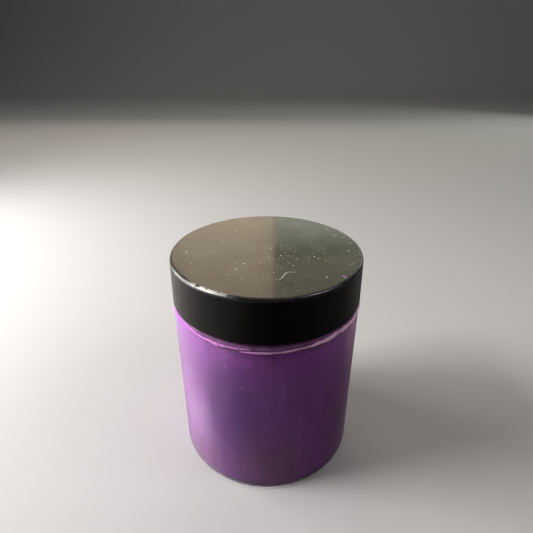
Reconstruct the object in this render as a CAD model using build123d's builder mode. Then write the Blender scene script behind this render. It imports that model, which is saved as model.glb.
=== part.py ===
from build123d import *
import os

# Straight-sided, wide-mouth screw-top jar of paint, lid on. Millimetres, +Z up.
# The origin is the centre of the base, on the plane that the jar stands on.

# Driving dimensions
jar_radius = 36.1           # outside of the straight wall
total_height = 88.0         # standing plane to the top of the closed lid
lid_bottom_z = 71.0         # lower edge of the lid's skirt when closed
wall = 1.1                  # side wall
thread_pitch = 4.233        # six threads per inch
thread_turns = 1.25

# Base and shoulder of the jar
base_thickness = 1.1
heel_radius = 1.5
inner_heel_radius = 2.0
pushup_height = 1.4         # how far the middle of the base is pushed up
pushup_radius = 29.0        # where the pushed-up floor ends
pushup_blend = 2.0
ring_inner_radius = 31.2    # inner edge of the ring that the jar stands on
ring_blend = 0.5
gate_radius = 1.6           # moulding mark in the middle of the underside
gate_height = 0.3
shoulder_z = 70.6
shoulder_radius = 2.0
shoulder_thickness = 1.4
inner_shoulder_blend = 1.2
bore_foot_blend = 1.0

# Neck
neck_radius = 33.5          # root of the outside thread
bore_radius = 31.75         # the mouth
neck_top_z = 85.1
neck_foot_blend = 0.3
lip_radius = 0.5
thread_crest_radius = 34.6
thread_root_width = 2.2
thread_crest_width = 0.9
thread_end_below_lip = 2.7  # middle of the thread's upper end, below the lip

# Lid
lid_bottom_radius = 36.25   # the skirt is flush with the wall at its lower edge
lid_top_radius = 35.9       # and drafted inwards to its top
lid_inner_radius = 34.95    # root of the inside thread
lid_top_thickness = 1.6
lid_rim_radius = 1.2
lid_inner_blend = 0.4
lid_edge_radius = 0.3
lid_crest_radius = 33.9
lid_root_width = 2.0
lid_crest_width = 0.8
lid_thread_drop = 1.57      # the lid's thread runs this far below the jar's

# Liner: a disc held in the lid by its thread
liner_radius = 34.65
liner_thickness = 1.0
liner_edge_radius = 0.2
liner_gap = 0.1             # between the liner and the lid's top plate

# Paint
paint_level_z = 68.0
paint_clearance = 0.05      # between the paint and the side wall

# Thread sections are sunk this far into the wall that carries them
thread_root_sink = 0.3

inner_radius = jar_radius - wall
inner_shoulder_z = shoulder_z - shoulder_thickness
inner_floor_z = base_thickness + pushup_height
lid_plate_z = total_height - lid_top_thickness
thread_height = thread_turns * thread_pitch
thread_start_z = neck_top_z - thread_end_below_lip - thread_height

os.makedirs("parts", exist_ok=True)


def turned(outline):
    """Solid turned about Z from a closed outline of ((radius, height), corner rounding)."""
    with BuildPart() as solid:
        with BuildSketch(Plane.XZ):
            with BuildLine():
                FilletPolyline(
                    [point for point, rounding in outline],
                    radius=[rounding for point, rounding in outline],
                    close=True,
                )
            make_face()
        revolve(axis=Axis.Z)
    return solid.part


def screw_thread(root_radius, root_width, crest_radius, crest_width, start_z):
    """Right-hand trapezoid thread, outside or inside, on the wall at its root radius.

    Its flanks run on past the wall's surface into the wall, so that no edge of the
    thread lies on that surface.
    """
    depth = crest_radius - root_radius
    sink = thread_root_sink if depth > 0 else -thread_root_sink
    sunk_width = root_width + (root_width - crest_width) * sink / depth
    section = [
        (-sink, -sunk_width / 2),
        (depth, -crest_width / 2),
        (depth, crest_width / 2),
        (-sink, sunk_width / 2),
    ]
    with BuildPart() as ridge:
        with BuildLine() as path:
            Helix(thread_pitch, thread_height, root_radius, center=(0, 0, start_z))
        with BuildSketch(Plane(path.line @ 0, x_dir=(1, 0, 0), z_dir=path.line % 0)):
            with BuildLine():
                Polyline(section, close=True)
            make_face()
        sweep(path=path.line, is_frenet=True)
    return ridge.part


# Jar body: one blow-moulded shell. The outline goes up the outside, over the lip and
# down the inside.
with BuildPart() as jar_body:
    add(turned([
        ((0, pushup_height), 0),
        ((pushup_radius, pushup_height), pushup_blend),
        ((ring_inner_radius, 0), ring_blend),
        ((jar_radius, 0), heel_radius),
        ((jar_radius, shoulder_z), shoulder_radius),
        ((neck_radius, shoulder_z), neck_foot_blend),
        ((neck_radius, neck_top_z), lip_radius),
        ((bore_radius, neck_top_z), lip_radius),
        ((bore_radius, inner_shoulder_z), bore_foot_blend),
        ((inner_radius, inner_shoulder_z), inner_shoulder_blend),
        ((inner_radius, base_thickness), inner_heel_radius),
        ((ring_inner_radius, base_thickness), ring_blend),
        ((pushup_radius, inner_floor_z), pushup_blend),
        ((0, inner_floor_z), 0),
    ]))
    add(screw_thread(
        neck_radius, thread_root_width, thread_crest_radius, thread_crest_width, thread_start_z
    ))
    with BuildSketch(Plane.XY.offset(pushup_height - gate_height)):
        Circle(gate_radius)
    extrude(amount=2 * gate_height)

# Paint: the filling, from the floor up to its level
with BuildPart() as paint:
    add(turned([
        ((0, inner_floor_z), 0),
        ((pushup_radius, inner_floor_z), pushup_blend),
        ((ring_inner_radius, base_thickness), ring_blend),
        ((inner_radius - paint_clearance, base_thickness), inner_heel_radius),
        ((inner_radius - paint_clearance, paint_level_z), 0),
        ((0, paint_level_z), 0),
    ]))

# Lid: a flat-topped cap with a plain drafted skirt, threaded inside
with BuildPart() as lid:
    add(turned([
        ((0, lid_plate_z), 0),
        ((lid_inner_radius, lid_plate_z), lid_inner_blend),
        ((lid_inner_radius, lid_bottom_z), lid_edge_radius),
        ((lid_bottom_radius, lid_bottom_z), lid_edge_radius),
        ((lid_top_radius, total_height), lid_rim_radius),
        ((0, total_height), 0),
    ]))
    add(screw_thread(
        lid_inner_radius, lid_root_width, lid_crest_radius, lid_crest_width,
        thread_start_z - lid_thread_drop,
    ))

# Liner: the soft disc that seals the lid on the lip
with BuildPart() as lid_liner:
    with BuildSketch(Plane.XY.offset(lid_plate_z - liner_gap - liner_thickness)):
        Circle(liner_radius)
    extrude(amount=liner_thickness)
    fillet(lid_liner.edges().filter_by(GeomType.CIRCLE), liner_edge_radius)

pieces = {"jar_body": jar_body, "paint": paint, "lid": lid, "lid_liner": lid_liner}
for name, piece in pieces.items():
    piece.part.label = name
    export_step(piece.part, f"parts/{name}.step")
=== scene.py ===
import bpy
import numpy as np
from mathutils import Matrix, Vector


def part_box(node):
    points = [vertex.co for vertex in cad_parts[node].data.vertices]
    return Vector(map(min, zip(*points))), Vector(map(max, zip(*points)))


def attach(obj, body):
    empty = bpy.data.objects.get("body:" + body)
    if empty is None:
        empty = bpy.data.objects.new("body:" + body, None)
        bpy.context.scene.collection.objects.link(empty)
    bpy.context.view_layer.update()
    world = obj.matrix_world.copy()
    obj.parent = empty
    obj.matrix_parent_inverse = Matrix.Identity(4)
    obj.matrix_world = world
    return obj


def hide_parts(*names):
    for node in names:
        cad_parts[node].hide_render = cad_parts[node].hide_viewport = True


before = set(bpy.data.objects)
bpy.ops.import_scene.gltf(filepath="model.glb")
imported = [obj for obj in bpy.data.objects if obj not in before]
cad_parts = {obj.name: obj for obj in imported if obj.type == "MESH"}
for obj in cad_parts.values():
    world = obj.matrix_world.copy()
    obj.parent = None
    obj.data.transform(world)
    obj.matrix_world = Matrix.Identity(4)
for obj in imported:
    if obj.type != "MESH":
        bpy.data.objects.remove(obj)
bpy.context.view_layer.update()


# Jar body
# One blow-moulded shell of clear plastic: pushed-up base, straight wall, rounded shoulder and a
# neck with a right-hand screw thread. Its corners are soft and its wall is very slightly wavy.

jar_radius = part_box("jar_body")[1].x
neck_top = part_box("jar_body")[1].z
wall = 0.0011
base_thickness = 0.0011
push_up = 0.0014
push_up_radius = 0.0290
ring_inner_radius = 0.0312
heel_radius = 0.0015
shoulder_height = 0.0706
shoulder_radius = 0.0020
neck_radius = 0.0335
crest_radius = 0.0346
bore_radius = 0.03175
inner_shoulder = shoulder_height - 0.0014
inner_radius = jar_radius - wall
floor_height = base_thickness + push_up
thread_pitch = 0.004233
thread_turns = 1.25
thread_start = neck_top - 0.0027 - thread_turns * thread_pitch


def rounded_outline(corners, arc_steps=7):
    """Outline of (radius, height) points through the corners, as an array.

    Each corner is (radius, height, rounding, steps to the next corner). A corner is replaced by
    the arc of its rounding that is tangent to both its runs. A run's points are spaced by a half
    cosine, so they crowd towards its ends and keep the flats flat beside the arcs.
    """
    places = np.array([corner[:2] for corner in corners])
    starts, ends, arcs = places.copy(), places.copy(), []
    for i, (_, _, rounding, _) in enumerate(corners):
        arc = places[i:i + 1]
        if rounding > 0:
            back = places[i - 1] - places[i]
            ahead = places[(i + 1) % len(places)] - places[i]
            back, ahead = back / np.hypot(*back), ahead / np.hypot(*ahead)
            half = np.arccos(np.clip(back @ ahead, -1, 1)) / 2
            middle = places[i] + (back + ahead) / np.hypot(*(back + ahead)) * rounding / np.sin(half)
            first = places[i] + back * rounding / np.tan(half) - middle
            last = places[i] + ahead * rounding / np.tan(half) - middle
            turn = np.arctan2(first[0] * last[1] - first[1] * last[0], first @ last)
            steps = np.linspace(0, turn, arc_steps)
            arc = middle + np.stack([first[0] * np.cos(steps) - first[1] * np.sin(steps),
                                     first[0] * np.sin(steps) + first[1] * np.cos(steps)], 1)
        arcs.append(arc)
    points = []
    for i, (_, _, _, steps) in enumerate(corners):
        points.append(arcs[i])
        if i + 1 < len(corners):
            share = (1 - np.cos(np.linspace(0, np.pi, steps + 1)[1:-1])) / 2
            points.append(arcs[i][-1] + share[:, None] * (arcs[i + 1][0] - arcs[i][-1]))
    return np.concatenate(points)


def turned_piece(name, outline, shape=None, segments=360, closed=False):
    """Surface of revolution: the outline is carried round the Z axis in equal steps.

    shape(radius, height, angle) may return moved radii and heights for the whole grid. A row on
    the axis becomes one vertex with a fan of triangles, and a closed outline joins its last row
    to its first. Outlines run with the outside on their right, so the faces point outwards.
    """
    angle = np.arange(segments) * 2 * np.pi / segments
    radius, height, angle = np.broadcast_arrays(outline[:, :1], outline[:, 1:], angle[None, :])
    if shape:
        radius, height = shape(radius, height, angle)
    grid = np.stack([radius * np.cos(angle), radius * np.sin(angle), height], 2)
    rows = len(outline)
    index = np.arange(rows * segments).reshape(rows, segments)
    low_pole = outline[0, 0] == 0 and not closed
    high_pole = outline[-1, 0] == 0 and not closed
    below = index if closed else index[:-1]
    above = np.roll(index, -1, 0) if closed else index[1:]
    quads = np.stack([below, np.roll(below, -1, 1), np.roll(above, -1, 1), above], 2)
    quads = quads[low_pole:len(quads) - high_pole].reshape(-1, 4)
    fans = []
    if low_pole:
        fans.append(np.stack([index[0] * 0, np.roll(index[1], -1), index[1]], 1))
    if high_pole:
        fans.append(np.stack([index[-2], np.roll(index[-2], -1), index[-1] * 0 + index[-1, 0]], 1))
    return mesh_piece(name, grid.reshape(-1, 3), [quads, *fans])


def mesh_piece(name, points, faces):
    """Object at the origin from an array of points and arrays of faces, without unused points."""
    used = np.unique(np.concatenate([group.ravel() for group in faces]))
    renumber = np.zeros(len(points), int)
    renumber[used] = np.arange(len(used))
    mesh = bpy.data.meshes.new(name)
    mesh.from_pydata(points[used], [], [face for group in faces for face in renumber[group].tolist()])
    mesh.shade_smooth()
    piece = bpy.data.objects.new(name, mesh)
    bpy.context.scene.collection.objects.link(piece)
    return piece


def smooth_step(low, high, value):
    """0 below low, 1 above high, and an S curve between them."""
    share = np.clip((value - low) / (high - low), 0, 1)
    return share * share * (3 - 2 * share)


def screw_thread(angle, height, start, root_half, crest_half):
    """Height of a right-hand thread over its root, from 0 to 1, at each angle and height.

    The ridge's middle climbs one pitch a turn from its start. Its flank is an S curve between the
    half widths at root and crest, and it fades in and out over a twentieth of a turn.
    """
    ridge = np.zeros_like(angle)
    fade = 0.05
    for turn in (0, 1):
        along = angle / (2 * np.pi) + turn
        off_middle = np.abs(height - start - along * thread_pitch)
        ends = smooth_step(0, fade, along) * smooth_step(0, fade, thread_turns - along)
        ridge = np.maximum(ridge, ends * (1 - smooth_step(crest_half, root_half, off_middle)))
    return ridge


def ripple(angle, seed, frequencies, strength=0.7):
    """Periodic unevenness round the axis, about -1 to 1: sines of whole-number frequencies with
    random phases, each weaker than the last by the power of its frequency."""
    chance = np.random.default_rng(seed)
    frequencies = np.array(frequencies)
    weights = (frequencies / frequencies[0]) ** -strength
    phases = chance.uniform(0, 2 * np.pi, len(frequencies))
    waves = np.sin(angle[..., None] * frequencies + phases) * weights
    return waves.sum(-1) / np.sqrt((weights ** 2).sum())


def jar_shape(radius, height, angle):
    """The neck's thread stands out of its outer face, and the outer wall wanders by hundredths
    of a millimetre, most at mid height."""
    crest = crest_radius - neck_radius
    on_neck = np.abs(radius - neck_radius) < 1e-6
    threaded = radius + on_neck * crest * screw_thread(angle, height, thread_start, 0.0011, 0.00045)
    on_wall = np.abs(radius - jar_radius) < 1e-6
    bulge = np.sin(np.pi * np.clip(height / shoulder_height, 0, 1))
    wander = 0.00003 * bulge * (ripple(angle, 3, [2, 3, 5]) - 1)
    return threaded + on_wall * wander, height


jar_outline = rounded_outline([
    (0, push_up, 0, 8),
    (push_up_radius, push_up, 0.0020, 3),
    (ring_inner_radius, 0, 0.0005, 3),
    (jar_radius, 0, heel_radius, 36),
    (jar_radius, shoulder_height, shoulder_radius, 2),
    (neck_radius, shoulder_height, 0.0003, 66),
    (neck_radius, neck_top, 0.0005, 2),
    (bore_radius, neck_top, 0.0005, 12),
    (bore_radius, inner_shoulder, 0.0010, 2),
    (inner_radius, inner_shoulder, 0.0012, 20),
    (inner_radius, base_thickness, 0.0020, 3),
    (ring_inner_radius, base_thickness, 0.0005, 3),
    (push_up_radius, floor_height, 0.0020, 8),
    (0, floor_height, 0, 1),
])
jar_shell = turned_piece("jar_shell", jar_outline, jar_shape)


def add_node(tree, kind, **settings):
    """New shader node: settings are its own properties, or its inputs by name with _ for a space."""
    node = tree.nodes.new(kind)
    for name, value in settings.items():
        if hasattr(node, name) and name != "inputs":
            setattr(node, name, value)
        else:
            set_input(tree, node, name.replace("_", " "), value)
    return node


def set_input(tree, node, name, value):
    """Puts a value on a node's input, or links an output socket to it."""
    socket = node.inputs[int(name)] if name.isdigit() else node.inputs[name]
    if isinstance(value, bpy.types.NodeSocket):
        tree.links.new(value, socket)
    else:
        socket.default_value = value


def new_material(name, **shader_values):
    """Material with one Principled shader, whose inputs are set by name. Returns the material, its
    tree, the shader and a socket that gives the place on the object."""
    material = bpy.data.materials.new(name)
    material.use_nodes = True
    tree = material.node_tree
    shader = tree.nodes["Principled BSDF"]
    for key, value in shader_values.items():
        set_input(tree, shader, key.replace("_", " "), value)
    place = add_node(tree, "ShaderNodeTexCoord").outputs["Object"]
    return material, tree, shader, place


def ramp(tree, value, low, high, first=0.0, last=1.0, curve="LINEAR"):
    """Number that goes from first to last as value goes from low to high, and stays within them."""
    spread = add_node(tree, "ShaderNodeMapRange", interpolation_type=curve, Value=value, From_Min=low,
                      From_Max=high, To_Min=first, To_Max=last)
    return spread.outputs["Result"]


def blotches(tree, coordinates, scale, stretch=(1, 1, 1), detail=3.0, low=0.35, high=0.65):
    """Soft noise between 0 and 1 on the given coordinates, stretched along each axis."""
    mapping = add_node(tree, "ShaderNodeMapping", Vector=coordinates, Scale=stretch)
    noise = add_node(tree, "ShaderNodeTexNoise", Vector=mapping.outputs["Vector"], Scale=scale,
                     Detail=detail)
    return ramp(tree, noise.outputs["Fac"], low, high)


def blend_numbers(tree, share, first, second):
    """Number that goes from first to second as share goes from 0 to 1."""
    return ramp(tree, share, 0.0, 1.0, first, second)


def clear_plastic():
    """Clear moulded plastic with a satin skin. It lets light straight through for shadows, as a
    thin wall does, so what it holds is lit."""
    material, tree, shader, place = new_material(
        "clear_plastic", Base_Color=(0.93, 0.9, 0.95, 1), Transmission_Weight=1.0, IOR=1.45,
        Sheen_Weight=0.30, Sheen_Roughness=0.45, Sheen_Tint=(0.95, 0.86, 1.0, 1))
    rubbed = blotches(tree, place, 60, (1, 1, 0.5), 4.0, 0.35, 0.7)
    set_input(tree, shader, "Roughness", blend_numbers(tree, rubbed, 0.28, 0.40))
    orange_peel = add_node(tree, "ShaderNodeTexNoise", Vector=place, Scale=900.0, Detail=2.0)
    bump = add_node(tree, "ShaderNodeBump", Strength=0.10, Distance=0.00005,
                    Height=orange_peel.outputs["Fac"])
    set_input(tree, shader, "Normal", bump.outputs["Normal"])
    light_path = add_node(tree, "ShaderNodeLightPath")
    see_through = add_node(tree, "ShaderNodeBsdfTransparent", Color=(0.97, 0.95, 0.98, 1))
    mix = add_node(tree, "ShaderNodeMixShader")
    set_input(tree, mix, "0", light_path.outputs["Is Shadow Ray"])
    set_input(tree, mix, "1", shader.outputs["BSDF"])
    set_input(tree, mix, "2", see_through.outputs["BSDF"])
    tree.links.new(mix.outputs[0], tree.nodes["Material Output"].inputs["Surface"])
    return material


jar_shell.data.materials.append(clear_plastic())
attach(jar_shell, "jar")
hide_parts("jar_body")


# Heel highlight
# A narrow pale ring on the standing edge of the clear plastic, a painted highlight for the light
# that the heel catches. It is a skin that stands two hundredths of a millimetre out of the plastic.

heel_slope = np.radians(np.linspace(1, 30, 8))


def on_heel(stand_out):
    """Radius and height of the heel's arc at each slope below the level, standing out from it."""
    arm = heel_radius + stand_out
    return np.stack([jar_radius - heel_radius + arm * np.cos(heel_slope),
                     heel_radius - arm * np.sin(heel_slope)], 1)


def scuff_shape(radius, height, angle):
    """The ring wanders up and down by a few hundredths of a millimetre."""
    return radius, height + 0.00003 * ripple(angle, 71, [9, 23, 41, 77, 131], 0.3)


heel_highlight_line = turned_piece("heel_highlight_line", np.concatenate([on_heel(0.00002)[::-1], on_heel(-0.00002)]),
                          scuff_shape, segments=720, closed=True)


def blend_colours(tree, share, first, second):
    """Colour that goes from first to second as share goes from 0 to 1."""
    mix = add_node(tree, "ShaderNodeMix", data_type="RGBA")
    set_input(tree, mix, "0", share)
    set_input(tree, mix, "6", first if isinstance(first, bpy.types.NodeSocket) else (*first, 1))
    set_input(tree, mix, "7", second if isinstance(second, bpy.types.NodeSocket) else (*second, 1))
    return mix.outputs[2]


def rubbed_plastic():
    """Painted highlight on the heel: a pale, matt lilac grey, darker in blotches."""
    material, tree, shader, place = new_material("rubbed_plastic", Roughness=0.6, Specular_IOR_Level=0.4)
    heel_blotches = blotches(tree, place, 300, (1, 1, 1), 4.0, 0.40, 0.64)
    # Painted highlight: the pale colour stands in for the light that the heel catches.
    set_input(tree, shader, "Base Color", blend_colours(tree, heel_blotches, (0.46, 0.35, 0.47), (0.20, 0.11, 0.23)))
    return material


heel_highlight_line.data.materials.append(rubbed_plastic())
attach(heel_highlight_line, "jar")


# Paint
# A thick acrylic that fills the jar to just under the shoulder. It wets the wall, so it is built
# a few hundredths into the plastic, climbs it in a meniscus, and keeps the swirl of its last stir.

paint_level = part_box("paint")[1].z
wetting = 0.00004
wet_radius = inner_radius + wetting
swirl_height = 0.00030


def paint_shape(radius, height, angle):
    """The open surface carries a spiral swell that dies out at the middle and at the wall, and
    the last 2 mm climb the wall as the square of the distance."""
    on_top = height > paint_level - 1e-6
    out = radius / wet_radius
    swell = np.sin(2 * angle + 26 * out) * 0.7 + np.sin(3 * angle - 15 * out + 1.0) * 0.3
    fade = np.clip(out * 3, 0, 1) * smooth_step(0, 0.2, 1 - out)
    climb = 0.0009 * np.clip((radius - wet_radius + 0.002) / 0.002, 0, 1) ** 2
    return radius, height + on_top * (swirl_height * swell * fade + climb)


paint_outline = rounded_outline([
    (0, floor_height - wetting, 0, 8),
    (push_up_radius, floor_height - wetting, 0.0020, 3),
    (ring_inner_radius, base_thickness - wetting, 0.0005, 3),
    (wet_radius, base_thickness - wetting, 0.0020, 30),
    (wet_radius, paint_level, 0, 60),
    (0, paint_level, 0, 1),
])
paint_fill = turned_piece("paint_fill", paint_outline, paint_shape)


def calculate(tree, operation, *values):
    """Result of one operation of the Math node on numbers or sockets."""
    node = add_node(tree, "ShaderNodeMath", operation=operation)
    for number, value in enumerate(values):
        set_input(tree, node, str(number), value)
    return node.outputs[0]


def soft_spot():
    """Node group for one soft patch at a place: 1 at its centre and 0 where the distance from the
    centre, measured in half sizes, is 1, with an S curve between and a noise that frays it."""
    group = bpy.data.node_groups.new("soft_spot", "ShaderNodeTree")
    face = group.interface
    for name in ("Vector", "Centre", "Half Size"):
        face.new_socket(name, in_out="INPUT", socket_type="NodeSocketVector")
    face.new_socket("Mask", in_out="OUTPUT", socket_type="NodeSocketFloat")
    source = add_node(group, "NodeGroupInput")
    sink = add_node(group, "NodeGroupOutput")
    off = add_node(group, "ShaderNodeVectorMath", operation="SUBTRACT")
    group.links.new(source.outputs["Vector"], off.inputs[0])
    group.links.new(source.outputs["Centre"], off.inputs[1])
    share = add_node(group, "ShaderNodeVectorMath", operation="DIVIDE")
    group.links.new(off.outputs["Vector"], share.inputs[0])
    group.links.new(source.outputs["Half Size"], share.inputs[1])
    distance = add_node(group, "ShaderNodeVectorMath", operation="LENGTH")
    group.links.new(share.outputs["Vector"], distance.inputs[0])
    noise = add_node(group, "ShaderNodeTexNoise", Vector=source.outputs["Vector"], Scale=150.0, Detail=3.0)
    frayed = calculate(group, "MULTIPLY_ADD", noise.outputs["Fac"], 0.7, distance.outputs["Value"])
    group.links.new(ramp(group, frayed, 0.45, 1.35, 1.0, 0.0, "SMOOTHSTEP"), sink.inputs["Mask"])
    return group


soft_spot_group = soft_spot()


def add_spot(tree, place, centre, half_size, strength=1.0):
    """A soft patch's mask, times its strength."""
    spot = add_node(tree, "ShaderNodeGroup", node_tree=soft_spot_group, Vector=place, Centre=centre,
                    Half_Size=half_size)
    return blend_numbers(tree, spot.outputs["Mask"], 0.0, strength)


def purple_paint(name, roughness, specular):
    """Opaque purple paint: violet with bluer clouds, a few pale bubbles and faint upright streaks
    where it has run down the wall. It is made brighter towards its top, as painted light. Placed on
    it are painted shade, in a darker, bluer patch in front, a dark band on the right and greyer,
    darker paint low down, and painted highlights, in a pale haze on the left, a bright patch at the
    upper left and a pale patch on the right."""
    material, tree, shader, place = new_material(name, Roughness=roughness, Specular_IOR_Level=specular)
    violet, blue = (0.172, 0.028, 0.208), (0.128, 0.032, 0.236)
    right_shade, low_shade, pale = (0.116, 0.007, 0.114), (0.130, 0.036, 0.112), (0.440, 0.210, 0.350)
    clouds = blotches(tree, place, 26, (1, 1, 0.7), 2.0, 0.42, 0.68)
    colour = blend_colours(tree, blend_numbers(tree, clouds, 0.0, 0.35), violet, blue)
    patches = (
        # Painted shade: a bluer patch in front, made darker.
        ((-0.0125, -0.0335, 0.0340), (0.021, 0.021, 0.046), 0.95, (0.074, 0.012, 0.122)),
        # Painted reflection: a pale haze low on the left.
        ((-0.0310, -0.0200, 0.0180), (0.021, 0.022, 0.046), 0.68, (0.360, 0.215, 0.390)),
        # Painted shade: a dark band on the right.
        ((0.0280, -0.0220, 0.0260), (0.015, 0.018, 0.034), 0.95, right_shade),
        # Painted shade: darker, greyer paint low down, in front and on the left.
        ((0.0030, -0.0350, 0.0120), (0.026, 0.020, 0.022), 0.85, low_shade),
        ((-0.0250, -0.0250, 0.0080), (0.016, 0.020, 0.018), 0.60, low_shade),
        # Painted light: bright violet at the upper left, under the shoulder.
        ((-0.0330, -0.0130, 0.0690), (0.012, 0.022, 0.005), 1.00, (0.260, 0.050, 0.330)),
        # Painted highlight: a pale patch at the upper right.
        ((0.0340, -0.0130, 0.0640), (0.012, 0.018, 0.022), 1.00, pale),
    )
    for centre, half_size, strength, tint in patches:
        colour = blend_colours(tree, add_spot(tree, place, centre, half_size, strength), colour, tint)
    bubbles = blotches(tree, place, 1100, detail=0.0, low=0.81, high=0.84)
    colour = blend_colours(tree, bubbles, colour, (0.52, 0.34, 0.56))
    runs = blotches(tree, place, 260, (1, 1, 0.03), 3.0, 0.3, 0.7)
    fine_runs = blotches(tree, place, 800, (1, 1, 0.05), 2.0, 0.3, 0.7)
    shade = calculate(tree, "MULTIPLY", blend_numbers(tree, runs, 0.88, 1.12),
                      blend_numbers(tree, fine_runs, 0.86, 1.14))
    height = add_node(tree, "ShaderNodeSeparateXYZ", Vector=place).outputs["Z"]
    # Painted light: the paint is made brighter towards its top.
    shade = calculate(tree, "MULTIPLY", shade, ramp(tree, height, 0.052, 0.070, 0.92, 1.28, "SMOOTHSTEP"))
    shaded = add_node(tree, "ShaderNodeVectorMath", operation="SCALE", Scale=shade)
    set_input(tree, shaded, "0", colour)
    set_input(tree, shader, "Base Color", shaded.outputs["Vector"])
    return material


def face_heights(piece):
    """Height of the middle of each face."""
    middles = np.empty(3 * len(piece.data.polygons), np.float32)
    piece.data.polygons.foreach_get("center", middles)
    return middles[2::3].astype(float)


wall_paint = purple_paint("paint_on_wall", 0.6, 0.1)
open_paint = purple_paint("paint_open", 0.16, 0.5)
paint_fill.data.materials.append(wall_paint)
paint_fill.data.materials.append(open_paint)
is_open = face_heights(paint_fill) > paint_level - 0.0002
paint_fill.data.polygons.foreach_set("material_index", is_open.astype(np.int32))
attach(paint_fill, "jar")
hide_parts("paint")


# Paint left in the neck
# A thin skin of paint that pouring and dipping leave inside the shoulder and up the neck. Its
# upper edge is uneven, with a few runs.

skin_thickness = 0.00016


def skin_shape(radius, height, angle):
    """The upper edge rises and falls round the neck, and the skin swells by a third in places."""
    bore = height > inner_shoulder + 0.001
    share = np.clip((height - inner_shoulder - 0.001) / 0.010, 0, 1)
    rise = 0.0030 * ripple(angle, 8, [2, 3, 5, 9, 14, 23])
    inwards = np.abs(radius - bore_radius) > 0.00008
    swell = bore * inwards * 0.00005 * ripple(angle, 12, [7, 11, 19])
    return radius + swell, height + bore * share * rise


def thin_paint():
    """Paint film: bright violet on the left, as painted light, and dark elsewhere, as painted
    shade."""
    material, tree, shader, place = new_material("thin_paint", Roughness=0.3, Specular_IOR_Level=0.3)
    side = add_node(tree, "ShaderNodeSeparateXYZ", Vector=place).outputs["X"]
    # Painted light and shade: bright violet on the far left, dark elsewhere.
    in_shade = ramp(tree, side, -0.034, -0.020)
    uneven = blotches(tree, place, 190, (1, 1, 0.6), 3.0, 0.35, 0.65)
    lit = blend_colours(tree, uneven, (0.40, 0.07, 0.60), (0.30, 0.05, 0.46))
    colour = blend_colours(tree, in_shade, lit, (0.055, 0.010, 0.070))
    set_input(tree, shader, "Base Color", colour)
    return material


skin_outline = rounded_outline([
    (inner_radius + wetting, paint_level + 0.0002, 0, 2),
    (inner_radius + wetting, inner_shoulder + wetting, 0.0012, 2),
    (bore_radius + wetting, inner_shoulder + wetting, 0.0010, 24),
    (bore_radius + wetting, inner_shoulder + 0.0075, 0, 2),
    (bore_radius - skin_thickness, inner_shoulder + 0.0073, 0, 24),
    (bore_radius - skin_thickness, inner_shoulder - skin_thickness, 0.0010, 2),
    (inner_radius - skin_thickness, inner_shoulder - skin_thickness, 0.0012, 2),
    (inner_radius - skin_thickness, paint_level + 0.0002, 0, 1),
])[::-1]
neck_skin = turned_piece("neck_skin", skin_outline, skin_shape, closed=True)
neck_skin.data.materials.append(thin_paint())
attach(neck_skin, "jar")


# Dried paint on the shoulder
# Paint that the lid has squeezed out and that has dried in the groove under the lid's edge. It is
# a ragged rib, smooth and violet on one side of the jar and pale, pink and lumpy on the other. Its
# pale tints are partly a painted highlight, for the light that the shoulder's curve catches.

corner_run = shoulder_radius * np.pi / 2


def on_shoulder(run, stand_out):
    """Radius and height of a point a run down the jar's outside from the top of the shoulder's
    arc, round the arc and on down the wall, and standing out from it."""
    slope = np.pi / 2 - np.clip(run, 0, corner_run) / shoulder_radius
    arm = shoulder_radius + stand_out
    return (jar_radius - shoulder_radius + arm * np.cos(slope),
            shoulder_height - shoulder_radius + arm * np.sin(slope) - np.maximum(run - corner_run, 0))


def paint_rib(name, first, last, middle, half_width, thickness, seed, steps):
    """A rib of dried paint on the shoulder, from one angle to another round the axis.

    middle(angle) is its run down the outside, and half_width(angle) and thickness(angle) are its
    own. Its cross-section is a half ellipse on a foot sunk 0.03 mm into the plastic. Its edges and
    thickness wander by random ripples, and it tapers to a point at each end.
    """
    angle = np.linspace(np.radians(first), np.radians(last), steps)
    share = np.linspace(0, 1, steps)
    taper = np.sin(np.pi * np.clip(share, 0.004, 0.996)) ** 0.4
    ragged = np.stack([ripple(angle, seed + k, [17, 31, 53, 97, 151, 233], 0.25) for k in range(3)])
    reach = half_width(angle) * taper
    upper = middle(angle) - reach * (1 + 0.22 * ragged[0])
    lower = middle(angle) + reach * (1 + 0.30 * ragged[1])
    tall = thickness(angle) * taper * (1 + 0.25 * ragged[2])
    across = np.linspace(-1, 1, 9)[:, None]
    run = (upper + lower) / 2 + across * (lower - upper) / 2
    stand_out = tall * np.sqrt(np.clip(1 - across ** 2, 0, 1))
    run = np.concatenate([run, run[::-4]])
    stand_out = np.concatenate([stand_out, np.full((3, steps), -0.00003)])
    radius, height = on_shoulder(run, stand_out)
    points = np.stack([radius * np.cos(angle), radius * np.sin(angle), height], 2).reshape(-1, 3)
    index = np.arange(len(run) * steps).reshape(len(run), steps)
    after = np.roll(index, -1, 0)
    sides = np.stack([index[:, :-1], after[:, :-1], after[:, 1:], index[:, 1:]], 2)
    return mesh_piece(name, points, [sides.reshape(-1, 4), index[None, ::-1, 0], index[None, :, -1]])


def bump_at(angle, place, width):
    """1 at a place in degrees, falling off both ways as a normal curve of the given width."""
    return np.exp(-((np.degrees(angle) - place) / width) ** 2 / 2)


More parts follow.
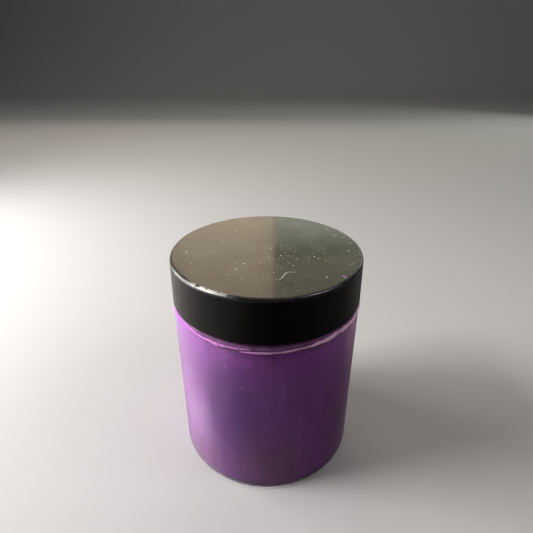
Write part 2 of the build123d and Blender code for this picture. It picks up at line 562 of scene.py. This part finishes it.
left_rib = paint_rib(
    "left_rib", 190, 263,
    lambda angle: (0.00275 + 0.00025 * smooth_step(216, 238, np.degrees(angle))
                   + 0.00012 * ripple(angle, 31, [5, 9]) + 0.0002 * bump_at(angle, 243, 1)),
    lambda angle: (0.00080 - 0.00025 * smooth_step(216, 238, np.degrees(angle))
                   + 0.00030 * bump_at(angle, 243, 0.9)),
    lambda angle: 0.00012 + 0.00016 * bump_at(angle, 243, 0.8), 41, 420)
front_rib = paint_rib(
    "front_rib", 256, 289,
    lambda angle: 0.0040 - 0.0005 * smooth_step(272, 289, np.degrees(angle)),
    lambda angle: 0.00044 + 0 * angle, lambda angle: 0.00010 + 0 * angle, 45, 220)
right_rib = paint_rib(
    "right_rib", 280, 372,
    lambda angle: (0.00335 - 0.00030 * smooth_step(290, 304, np.degrees(angle))
                   + 0.00014 * ripple(angle, 33, [7, 13, 23])),
    lambda angle: 0.00050 + 0.00045 * smooth_step(288, 302, np.degrees(angle)),
    lambda angle: 0.00014 + 0.00014 * smooth_step(288, 302, np.degrees(angle)), 49, 620)
rear_rib = paint_rib(
    "rear_rib", 22, 178,
    lambda angle: 0.00285 + 0.00030 * ripple(angle, 35, [4, 9, 17]),
    lambda angle: 0.00026 + 0.00018 * (1 + ripple(angle, 37, [3, 7, 11])) / 2,
    lambda angle: 0.00010 + 0 * angle, 53, 700)


def dried_paint():
    """Dried paint film: chalky lilac that goes from violet on the left to pale pink on the right,
    with darker breaks. Its pale tints are partly a painted highlight."""
    material, tree, shader, place = new_material("dried_paint", Roughness=0.40, Specular_IOR_Level=0.3)
    side = add_node(tree, "ShaderNodeSeparateXYZ", Vector=place).outputs["X"]
    # Partly painted highlight: the pale violet and pink tints brighten the rib's line.
    tint = blend_colours(tree, ramp(tree, side, -0.029, -0.019), (0.36, 0.06, 0.52), (0.62, 0.22, 0.60))
    tint = blend_colours(tree, ramp(tree, side, -0.010, 0.016), tint, (0.92, 0.59, 0.80))
    breaks = blotches(tree, place, 240, (1, 1, 0.5), 3.0, 0.46, 0.66)
    deeper = blend_colours(tree, 0.45, tint, (0.30, 0.08, 0.32))
    colour = blend_colours(tree, breaks, tint, deeper)
    set_input(tree, shader, "Base Color", colour)
    return material


rib_paint_and_highlight = dried_paint()
for rib in (left_rib, front_rib, right_rib, rear_rib):
    rib.data.materials.append(rib_paint_and_highlight)
    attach(rib, "jar")


# Painted shade under the lid's edge
# A thin film round the shoulder's curve, between the lid's edge and the dried rib. It is painted
# shade, dark where the lid's edge shades the shoulder, and painted light, bright violet, on the far
# left. It hangs lowest on the left.

film_run = np.linspace(0.0002, 0.0031, 16)
film_outline = np.concatenate([np.stack(on_shoulder(film_run[::-1], 0.00005), 1),
                               np.stack(on_shoulder(film_run, -0.00003), 1)])


def film_shape(radius, height, angle):
    """The film's lower edge wanders up and down by up to a third of a millimetre, and hangs
    nearly a millimetre lower round one side."""
    low = 1 - smooth_step(shoulder_height - 0.0030, shoulder_height - 0.0012, height)
    hang = 0.00016 * (1 + ripple(angle, 61, [5, 9, 17, 31, 57])) + 0.0009 * bump_at(angle, 205, 17)
    return radius, height - low * hang


shoulder_shade_film = turned_piece("shoulder_shade_film", film_outline, film_shape, segments=720, closed=True)


def stained_film():
    """Film that is painted shade: dark and matt all round but on the far left, where it is bright
    violet as painted light."""
    material, tree, shader, place = new_material("stained_film", Roughness=0.6, Specular_IOR_Level=0.15)
    side = add_node(tree, "ShaderNodeSeparateXYZ", Vector=place).outputs["X"]
    # Painted light and shade: bright violet on the far left, dark elsewhere.
    shaded_part = ramp(tree, side, -0.0335, -0.0270)
    uneven = blotches(tree, place, 260, (1, 1, 0.6), 4.0, 0.35, 0.65)
    lit = blend_colours(tree, uneven, (0.27, 0.060, 0.37), (0.23, 0.050, 0.31))
    dark = blend_colours(tree, uneven, (0.200, 0.085, 0.210), (0.120, 0.045, 0.130))
    set_input(tree, shader, "Base Color", blend_colours(tree, shaded_part, lit, dark))
    return material


shoulder_shade_film.data.materials.append(stained_film())
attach(shoulder_shade_film, "jar")

# Lid
# An injection-moulded cap of glossy black plastic, with a flat top, a rounded rim, a plain skirt
# that tapers a little, and the screw thread inside. Its top is dusty and finely scratched.

lid_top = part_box("lid")[1].z
lid_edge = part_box("lid")[0].z
lid_edge_radius = 0.03625
lid_top_radius = 0.0359
lid_inner_radius = 0.03495
lid_crest_radius = 0.0339
lid_thread_drop = 0.00157
lid_plate = lid_top - 0.0016
rim_radius = 0.0012


def lid_shape(radius, height, angle):
    """The lid's thread stands in from its inner wall, and the top has sunk by hundredths of a
    millimetre between its middle and its rim, as a moulding does when it cools."""
    crest = lid_inner_radius - lid_crest_radius
    inside = np.abs(radius - lid_inner_radius) < 1e-6
    start = thread_start - lid_thread_drop
    threaded = radius - inside * crest * screw_thread(angle, height, start, 0.0010, 0.0004)
    out = np.clip(radius / (lid_top_radius - rim_radius), 0, 1)
    sink = -0.00002 * np.sin(np.pi * out) ** 2
    return threaded, height + (height > lid_top - 1e-6) * sink


lid_outline = rounded_outline([
    (0, lid_plate, 0, 6),
    (lid_inner_radius, lid_plate, 0.0004, 66),
    (lid_inner_radius, lid_edge, 0.0003, 3),
    (lid_edge_radius, lid_edge, 0.0003, 16),
    (lid_top_radius, lid_top, rim_radius, 24),
    (0, lid_top, 0, 1),
], arc_steps=9)
lid_cap = turned_piece("lid_cap", lid_outline, lid_shape)


def handling_wear():
    """Node group for plastic that has been handled: a haze of rubbed patches, and fine scratches
    in two directions.

    Haze is soft noise. A scratch is where a noise drawn out fifty times along one direction comes
    near its middle value, kept only in patches of a second noise.
    """
    group = bpy.data.node_groups.new("handling_wear", "ShaderNodeTree")
    face = group.interface
    face.new_socket("Vector", in_out="INPUT", socket_type="NodeSocketVector")
    for output in ("Haze", "Scratches"):
        face.new_socket(output, in_out="OUTPUT", socket_type="NodeSocketFloat")
    place = add_node(group, "NodeGroupInput").outputs["Vector"]
    lines = []
    for turn, seed in ((0.5, 0.03), (2.1, 0.11)):
        aim = add_node(group, "ShaderNodeMapping", vector_type="TEXTURE", Vector=place,
                       Rotation=(0.1, 0.2, turn), Scale=(1 / 14, 1 / 700, 1 / 700),
                       Location=(seed, seed, seed))
        streak = add_node(group, "ShaderNodeTexNoise", Vector=aim.outputs["Vector"], Scale=1.0, Detail=1.0)
        off = calculate(group, "SUBTRACT", streak.outputs["Fac"], 0.5)
        thin = ramp(group, calculate(group, "ABSOLUTE", off), 0.0, 0.012, 1.0, 0.0)
        patch = blotches(group, place, 60 + 30 * turn, detail=2.0, low=0.56, high=0.66)
        lines.append(calculate(group, "MULTIPLY", thin, patch))
    sink = add_node(group, "NodeGroupOutput")
    group.links.new(blotches(group, place, 90, detail=5.0, low=0.4, high=0.75), sink.inputs["Haze"])
    group.links.new(calculate(group, "MAXIMUM", *lines), sink.inputs["Scratches"])
    return group


handling_wear_group = handling_wear()


def distance_from_axis(tree, place):
    """How far a place is from the Z axis."""
    split = add_node(tree, "ShaderNodeSeparateXYZ", Vector=place)
    flat = add_node(tree, "ShaderNodeCombineXYZ", X=split.outputs["X"], Y=split.outputs["Y"])
    length = add_node(tree, "ShaderNodeVectorMath", operation="LENGTH")
    set_input(tree, length, "0", flat.outputs["Vector"])
    return length.outputs["Value"]


def black_plastic(name, specular, smoothest, dullest):
    """Black plastic. Its top is greyed by dust and smudges, scratches are pale and stand out a
    little, the rim is dulled, and the rim's crest has a pale broken streak at the front left, which
    is wear and partly a painted highlight."""
    material, tree, shader, place = new_material(name, Specular_IOR_Level=specular)
    wear = add_node(tree, "ShaderNodeGroup", node_tree=handling_wear_group, Vector=place)
    height = add_node(tree, "ShaderNodeSeparateXYZ", Vector=place).outputs["Z"]
    on_top = ramp(tree, height, lid_top - 0.0004, lid_top - 0.0001)
    fine = blotches(tree, place, 900, detail=3.0, low=0.62, high=0.74)
    dust = calculate(tree, "MULTIPLY", calculate(tree, "MULTIPLY_ADD", fine, 0.10, 0.018), on_top)
    black, grey = (0.0028, 0.0024, 0.0025), (0.46, 0.44, 0.39)
    colour = blend_colours(tree, dust, black, grey)
    smudged = blotches(tree, place, 120, detail=5.0, low=0.44, high=0.72)
    film = calculate(tree, "MULTIPLY", blend_numbers(tree, smudged, 0.0, 0.045), on_top)
    colour = blend_colours(tree, film, colour, grey)
    scratched = blend_numbers(tree, wear.outputs["Scratches"], 0.0, 0.035)
    colour = blend_colours(tree, scratched, colour, (0.5, 0.5, 0.47))
    chipped = blotches(tree, place, 500, (1, 1, 1), 3.0, 0.38, 0.46)
    on_rim = ramp(tree, distance_from_axis(tree, place), 0.0345, 0.0349, curve="SMOOTHSTEP")
    on_crest = ramp(tree, height, lid_top - 0.00075, lid_top - 0.00045, curve="SMOOTHSTEP")
    # Wear and painted highlight: a pale broken streak on the rim's crest at the front left.
    rim_wear_highlight = add_spot(tree, place, (-0.0190, -0.0300, lid_top), (0.0105, 0.0105, 0.0200))
    for mask in (chipped, on_rim, on_crest):
        rim_wear_highlight = calculate(tree, "MULTIPLY", rim_wear_highlight, mask)
    colour = blend_colours(tree, rim_wear_highlight, colour, (0.62, 0.60, 0.55))
    set_input(tree, shader, "Base Color", colour)
    gloss = blend_numbers(tree, wear.outputs["Haze"], smoothest, dullest)
    rubbed = blotches(tree, place, 420, detail=4.0, low=0.30, high=0.70)
    rim_gloss = blend_numbers(tree, rubbed, dullest, 0.42)
    mix = add_node(tree, "ShaderNodeMix", data_type="FLOAT")
    set_input(tree, mix, "0", on_rim)
    set_input(tree, mix, "2", gloss)
    set_input(tree, mix, "3", rim_gloss)
    set_input(tree, shader, "Roughness", mix.outputs[0])
    bump = add_node(tree, "ShaderNodeBump", Strength=0.12, Distance=0.00005,
                    Height=wear.outputs["Scratches"])
    set_input(tree, shader, "Normal", bump.outputs["Normal"])
    return material


lid_cap.data.materials.append(black_plastic("black_gloss", 0.5, 0.10, 0.20))
lid_cap.data.materials.append(black_plastic("black_satin", 0.09, 0.24, 0.32))
is_skirt = face_heights(lid_cap) < lid_top - rim_radius
lid_cap.data.polygons.foreach_set("material_index", is_skirt.astype(np.int32))
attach(lid_cap, "lid")
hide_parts("lid")


# Liner
# A disc of white closed-cell foam that seals the lid on the jar's lip. The thread inside the lid
# holds it, and the lip has pressed a shallow ring into its lower face.

liner_low, liner_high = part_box("lid_liner")
liner_outline = rounded_outline([
    (0, liner_low.z, 0, 60),
    (liner_high.x, liner_low.z, 0.0002, 3),
    (liner_high.x, liner_high.z, 0.0002, 8),
    (0, liner_high.z, 0, 1),
], arc_steps=5)


def liner_shape(radius, height, angle):
    """The lip's print is a shallow cosine groove, 0.12 mm deep, over the width of the lip."""
    middle = (neck_radius + bore_radius) / 2
    off = np.clip(np.abs(radius - middle) / (neck_radius - bore_radius), 0, 1)
    print_depth = 0.00012 * (1 + np.cos(np.pi * off)) / 2
    return radius, height + (height < liner_low.z + 1e-6) * print_depth


liner_disc = turned_piece("liner_disc", liner_outline, liner_shape, segments=240)


def liner_foam():
    """White foam, faintly mottled, with a violet stain in the ring that the lip has printed."""
    material, tree, shader, place = new_material("liner_foam", Roughness=0.75)
    off = calculate(tree, "SUBTRACT", distance_from_axis(tree, place), (neck_radius + bore_radius) / 2)
    ring = ramp(tree, calculate(tree, "ABSOLUTE", off), 0.0004, 0.0013, 1.0, 0.0)
    stain = calculate(tree, "MULTIPLY", ring, blotches(tree, place, 160, detail=4.0, low=0.42, high=0.60))
    mottled = blend_colours(tree, blotches(tree, place, 700), (0.80, 0.79, 0.76), (0.70, 0.69, 0.66))
    set_input(tree, shader, "Base Color", blend_colours(tree, stain, mottled, (0.26, 0.06, 0.34)))
    cells = add_node(tree, "ShaderNodeTexVoronoi", Vector=place, Scale=2600.0)
    bump = add_node(tree, "ShaderNodeBump", Strength=0.3, Distance=0.00005, Height=cells.outputs["Distance"])
    set_input(tree, shader, "Normal", bump.outputs["Normal"])
    return material


liner_disc.data.materials.append(liner_foam())
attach(liner_disc, "seal")
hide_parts("lid_liner")


# Specks on the lid
# Crumbs of dust and of dried white and grey paint that lie on the lid's top, thin in most places,
# in a short trail right of the middle, and thick along the right-hand rim.

chance = np.random.default_rng(17)
speck_corners = 7


def scattered(count, middle, spread):
    """Places for a number of crumbs about a middle point, normally spread along X and Y."""
    return np.array(middle) + chance.normal(size=(count, 2)) * np.array(spread)


def speck_piece(name, places, sizes, lengths, turns):
    """Flat crumbs as one piece: each is a ring of corners at uneven radii, raised by 0.15 to 0.45
    of its half width, with a closed top and bottom.

    places are X and Y on the lid's top, sizes the half widths, lengths how many times longer
    than wide each one is, and turns the angle that its length makes with X.
    """
    count = len(places)
    round_angle = np.arange(speck_corners) * 2 * np.pi / speck_corners
    arm = sizes[:, None] * chance.uniform(0.6, 1.15, (count, speck_corners))
    long_way, short_way = arm * np.cos(round_angle) * lengths[:, None], arm * np.sin(round_angle)
    cos, sin = np.cos(turns)[:, None], np.sin(turns)[:, None]
    x = places[:, :1] + long_way * cos - short_way * sin
    y = places[:, 1:] + long_way * sin + short_way * cos
    rise = (sizes * chance.uniform(0.15, 0.45, count))[:, None]
    foot = np.stack([x, y, np.full_like(x, lid_top - 0.00003)], 2)
    head = np.stack([places[:, :1] * 0.2 + x * 0.8, places[:, 1:] * 0.2 + y * 0.8,
                     lid_top + rise + x * 0], 2)
    points = np.concatenate([foot, head], 1).reshape(-1, 3)
    first = (np.arange(count) * 2 * speck_corners)[:, None, None]
    ring = np.arange(speck_corners)
    after = np.roll(ring, -1)
    sides = first + np.stack([ring, after, after + speck_corners, ring + speck_corners], 1)
    fan = np.stack([ring[:-2] * 0, ring[1:-1], ring[2:]], 1)
    faces = [sides.reshape(-1, 4), (first + fan + speck_corners).reshape(-1, 3),
             (first + fan[:, ::-1]).reshape(-1, 3)]
    return mesh_piece(name, points, faces)


def random_disc(count, largest):
    """Places spread evenly over a disc."""
    arm, angle = largest * np.sqrt(chance.uniform(0, 1, count)), chance.uniform(0, 2 * np.pi, count)
    return np.stack([arm * np.cos(angle), arm * np.sin(angle)], 1)


crumb_trail = (0.0120, -0.0080)
crumb_count = 18
crumb_places = np.concatenate([scattered(11, crumb_trail, (0.0050, 0.0045)), random_disc(7, 0.0320)])
crumb_sizes = 0.00015 + 0.00013 * chance.uniform(0, 1, crumb_count)
crumb_lengths = 1.1 + 2.2 * chance.uniform(0, 1, crumb_count) ** 2
dust_count = 230
rim_angle = np.radians(chance.normal(24, 24, 60))
rim_arm = lid_top_radius - rim_radius - np.abs(chance.normal(0, 0.0008, 60))
dust_places = np.concatenate([
    random_disc(90, 0.0335),
    scattered(50, (0.0145, -0.0035), (0.0060, 0.0075)),
    scattered(30, (0.0045, -0.0100), (0.0050, 0.0060)),
    np.stack([rim_arm * np.cos(rim_angle), rim_arm * np.sin(rim_angle)], 1),
])
dust_sizes = 0.00004 + 0.00014 * chance.uniform(0, 1, dust_count) ** 3
dust_lengths = 1 + 1.8 * chance.uniform(0, 1, dust_count) ** 2
lid_specks = speck_piece("lid_specks", np.concatenate([crumb_places, dust_places]),
                         np.concatenate([crumb_sizes, dust_sizes]),
                         np.concatenate([crumb_lengths, dust_lengths]),
                         chance.uniform(0, np.pi, crumb_count + dust_count))


def crumb(name, colour, other):
    """Matt crumbs whose colour changes from one to the next."""
    material, tree, shader, place = new_material(name, Roughness=0.8, Specular_IOR_Level=0.3)
    share = blotches(tree, place, 420, detail=1.0, low=0.40, high=0.60)
    set_input(tree, shader, "Base Color", blend_colours(tree, share, colour, other))
    return material


lid_specks.data.materials.append(crumb("pale_crumbs", (0.80, 0.82, 0.74), (0.44, 0.44, 0.39)))
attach(lid_specks, "lid")


# Two drops of other paint on the lid
# One violet splash and one yellow crumb, both near the front right of the rim.

splash_count = 4
splash_places = scattered(splash_count, (0.0255, -0.0220), (0.0005, 0.0006))
splash_sizes = 0.00014 + 0.00030 * chance.uniform(0, 1, splash_count) ** 2
violet_splash = speck_piece("violet_splash", splash_places, splash_sizes,
                            chance.uniform(1, 1.6, splash_count), chance.uniform(0, np.pi, splash_count))
violet_splash.data.materials.append(crumb("violet_crumbs", (0.52, 0.24, 0.66), (0.60, 0.36, 0.62)))
yellow_crumb = speck_piece("yellow_crumb", np.array([(0.020, -0.022)]), np.array([0.00038]),
                           np.array([1.3]), np.array([0.9]))
yellow_crumb.data.materials.append(crumb("yellow_crumbs", (0.60, 0.58, 0.22), (0.50, 0.52, 0.24)))
for drop in (violet_splash, yellow_crumb):
    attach(drop, "lid")


# Scratch on the lid
# A shallow S-shaped gouge in the front right of the top. What shows of it, and is built, is the
# pale burr that it has thrown up.

scratch_start = np.array((0.0030, -0.0235))
scratch_reach = np.array((0.0070, 0.0052))
scratch_share = np.linspace(0, 1, 64)
scratch_climb = smooth_step(0.15, 0.65, scratch_share)
scratch_line = scratch_start + scratch_reach * np.stack([scratch_share, scratch_climb], 1)


def burr_ribbon(name, line, half_width, rise):
    """A low rib along a line of X and Y places, tapered to a point at both ends.

    The rib's cross-section is a flat triangle that stands on the lid's top, and its width
    wavers along it.
    """
    steps = len(line)
    forward = np.gradient(line, axis=0)
    forward /= np.hypot(*forward.T)[:, None]
    aside = np.stack([-forward[:, 1], forward[:, 0]], 1)
    share = np.linspace(0, 1, steps)
    width = half_width * np.sin(np.pi * np.clip(share, 0.02, 0.98)) ** 0.5 * (1 + 0.35 * np.sin(share * 41))
    left, right = line + aside * width[:, None], line - aside * width[:, None]
    flat, top = np.full((steps, 1), lid_top - 0.00002), lid_top + rise * width[:, None] / half_width
    points = np.stack([np.hstack([left, flat]), np.hstack([line, top]), np.hstack([right, flat])], 1)
    index = np.arange(steps * 3).reshape(steps, 3)
    sides = [np.stack([index[:-1, k], index[:-1, k + 1], index[1:, k + 1], index[1:, k]], 1) for k in (0, 1)]
    under = np.stack([index[:-1, 2], index[:-1, 0], index[1:, 0], index[1:, 2]], 1)
    caps = np.array([index[0, ::-1], index[-1]])
    return mesh_piece(name, points.reshape(-1, 3), [*[side[:, ::-1] for side in sides], under[:, ::-1], caps])


lid_scratch = burr_ribbon("lid_scratch", scratch_line, 0.00020, 0.00003)
lid_scratch.data.materials.append(crumb("scratch_burr", (0.52, 0.53, 0.48), (0.34, 0.34, 0.31)))
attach(lid_scratch, "lid")


# Scuffs on the lid's rim
# Short knocks that start at the right of the rim and run inwards, each a pale burr like the
# scratch's.

scuff_material = crumb("scuff_burr", (0.40, 0.55, 0.44), (0.50, 0.56, 0.50))
scuff_count = 6
scuff_turns = np.radians(chance.normal(22, 16, scuff_count))
scuff_leans = np.radians(chance.normal(22, 14, scuff_count))
scuff_arms = lid_top_radius - rim_radius - chance.uniform(0.0003, 0.0022, scuff_count)
scuff_lengths = chance.uniform(0.0012, 0.0040, scuff_count)
scuff_widths = chance.uniform(0.00010, 0.00020, scuff_count)
scuff_share = np.linspace(0, 1, 24)[:, None]
for number in range(scuff_count):
    turn, lean = scuff_turns[number], scuff_leans[number]
    outer_end = scuff_arms[number] * np.array([np.cos(turn), np.sin(turn)])
    inwards = -scuff_lengths[number] * np.array([np.cos(lean), np.sin(lean)])
    bow = 0.1 * np.array([-inwards[1], inwards[0]]) * np.sin(np.pi * scuff_share)
    scuff = burr_ribbon(f"rim_scuff_{number + 1}", outer_end + inwards * scuff_share + bow,
                        scuff_widths[number], 0.00003)
    scuff.data.materials.append(scuff_material)
    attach(scuff, "lid")


# Floor, lights and camera
# A plain pale floor and soft studio light: a low key panel on the left, warm panels behind left
# and dim cool ones behind right, which the glossy lid mirrors, and an even dim surround.

floor_reach = 3.0
cove_start = 1.5
cove_radius = 0.8
cove_steps = 25
cove_turn = np.linspace(0, np.pi / 2, cove_steps)
sweep_line = np.concatenate([
    [(-floor_reach, 0)],
    np.stack([cove_start + cove_radius * np.sin(cove_turn), cove_radius * (1 - np.cos(cove_turn))], 1),
    [(cove_start + cove_radius, floor_reach)],
])
sweep_points = np.stack([np.column_stack([np.full(len(sweep_line), side), sweep_line])
                         for side in (-floor_reach, floor_reach)], 1)
sweep_index = np.arange(2 * len(sweep_line)).reshape(-1, 2)
sweep_faces = np.stack([sweep_index[:-1, 0], sweep_index[:-1, 1], sweep_index[1:, 1], sweep_index[1:, 0]], 1)
studio_floor = mesh_piece("studio_floor", sweep_points.reshape(-1, 3), [sweep_faces])


def pale_floor():
    """Matt pale sweep. Rays other than the camera's see it darker in front and on the right, and
    paler on the left, as if black flags and a white card stood there."""
    material, tree, shader, place = new_material("pale_floor", Roughness=0.8, Specular_IOR_Level=0.2)
    side = add_node(tree, "ShaderNodeSeparateXYZ", Vector=place).outputs["X"]
    flagged = ramp(tree, side, -0.11, -0.03, curve="SMOOTHSTEP")
    open_right = ramp(tree, side, 0.08, 0.13, 1.0, 0.25, "SMOOTHSTEP")
    on_right = ramp(tree, side, 0.015, 0.040, curve="SMOOTHSTEP")
    in_front = ramp(tree, side, -0.025, 0.010, curve="SMOOTHSTEP")
    on_left = ramp(tree, side, -0.075, -0.045, 1.0, 0.0, "SMOOTHSTEP")
    rays = add_node(tree, "ShaderNodeLightPath")
    through = blend_numbers(tree, rays.outputs["Is Transmission Ray"], 1.0, 0.0)
    unseen = blend_numbers(tree, rays.outputs["Is Camera Ray"], 1.0, 0.0)
    masks = []
    for shares in ((rays.outputs["Is Glossy Ray"], flagged, open_right, through),
                   (rays.outputs["Is Diffuse Ray"], in_front, open_right),
                   (unseen, on_right, open_right),
                   (unseen, on_left)):
        mask = shares[0]
        for share in shares[1:]:
            mask = calculate(tree, "MULTIPLY", mask, share)
        masks.append(mask)
    colour = blend_colours(tree, masks[3], (0.46, 0.455, 0.45), (0.72, 0.69, 0.66))
    for mask in masks[:3]:
        colour = blend_colours(tree, mask, colour, (0.055, 0.05, 0.05))
    set_input(tree, shader, "Base Color", colour)
    return material


studio_floor.data.materials.append(pale_floor())


def light_panel(name, place, target, size, radiance):
    """Rectangular soft light at a place, aimed at a target. radiance is the colour and brightness
    that it shows when looked at: its power is pi times its area times that."""
    lamp = bpy.data.lights.new(name, "AREA")
    lamp.shape = "RECTANGLE"
    lamp.size, lamp.size_y = size
    brightest = max(radiance)
    lamp.color = [value / brightest for value in radiance]
    lamp.energy = brightest * np.pi * size[0] * size[1]
    panel = bpy.data.objects.new(name, lamp)
    bpy.context.scene.collection.objects.link(panel)
    panel.location = place
    aim = np.array(target) - np.array(place)
    panel.rotation_mode = "QUATERNION"
    panel.rotation_quaternion = Vector(aim).to_track_quat("-Z", "Y")
    return panel


light_panel("key_panel", (-0.45, 0.07, 0.19), (0, 0, 0.05), (0.36, 0.34), (10.0, 9.7, 9.6))
light_panel("rim_lamp", (-0.77, -0.07, 0.70), (0, 0, 0.08), (0.36, 0.20), (34, 34, 34))
light_panel("right_fill", (0.30, -0.10, 0.40), (0, 0, 0.05), (0.16, 0.16), (5.8, 5.4, 5.6))
light_panel("front_fill", (0.02, -0.80, 0.60), (0, 0, 0.05), (0.30, 0.16), (1.0, 0.65, 0.5))
light_panel("ceiling_panel", (0.10, 0.65, 1.15), (0.10, 0.65, 0), (0.80, 0.80), (0.85, 0.86, 0.72))
light_panel("warm_back_panel", (-0.1215, 1.0, 0.62), (-0.1215, 0, 0.62), (0.289, 0.66), (1.98, 1.62, 1.14))
light_panel("warm_low_panel", (-0.47, 1.0, 0.46), (-0.47, 0, 0.46), (0.40, 0.36), (2.00, 1.60, 1.15))
light_panel("cool_back_panel", (0.2800, 1.0, 0.62), (0.2800, 0, 0.62), (0.51, 0.66), (0.36, 0.37, 0.24))
light_panel("cool_low_panel", (0.2800, 0.99, 0.40), (0.2800, 0, 0.40), (0.51, 0.24), (0.92, 0.98, 0.80))
light_panel("cool_high_panel", (0.1700, 0.99, 0.74), (0.1700, 0, 0.74), (0.28, 0.34), (0.44, 0.40, 0.28))
light_panel("cool_side_panel", (0.75, 0.9, 0.45), (0, 0, 0.1), (0.36, 0.6), (1.9, 1.9, 1.8))

world = bpy.data.worlds.new("studio_surround")
world.use_nodes = True
world.node_tree.nodes["Background"].inputs["Color"].default_value = (0.06, 0.06, 0.062, 1)
bpy.context.scene.world = world
bpy.context.scene.view_settings.view_transform = "Standard"

camera_data = bpy.data.cameras.new("camera")
camera_data.lens = 28.0
camera_data.sensor_width = 36.0
camera_data.clip_start = 0.01
camera = bpy.data.objects.new("camera", camera_data)
bpy.context.scene.collection.objects.link(camera)
camera.location = (0, -0.1416, 0.1541)
camera.rotation_euler = (np.radians(90 - 27.43), 0, 0)
bpy.context.scene.camera = camera
